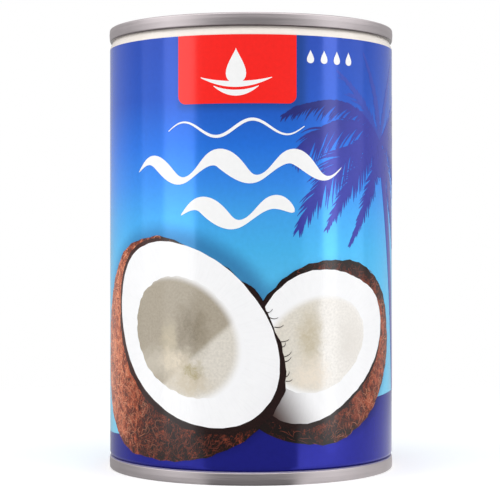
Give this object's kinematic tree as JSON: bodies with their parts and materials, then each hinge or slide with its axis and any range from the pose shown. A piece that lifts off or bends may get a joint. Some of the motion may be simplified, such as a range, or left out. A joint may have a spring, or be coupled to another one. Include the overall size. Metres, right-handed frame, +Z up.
{
  "type": "food can",
  "caption": "Shut, full cylindrical tinplate food can of coconut milk, with a printed wall, necked-in mouths and a plain double-seamed end at top and bottom.",
  "frame": {"origin": "centre of the circle that the bottom seam stands on", "axes": "+Z up along the can's axis; the front of the print faces -Y"},
  "size_m": [0.0732, 0.0732, 0.1127],
  "materials": {
    "printed_enamel": "lithographed tinplate under a clear gloss varnish",
    "tinplate": "drawn tinplate, satin"
  },
  "bodies": {
    "root": {"can_body": "printed_enamel", "top_end": "tinplate", "bottom_end": "tinplate"}
  },
  "joints": []
}
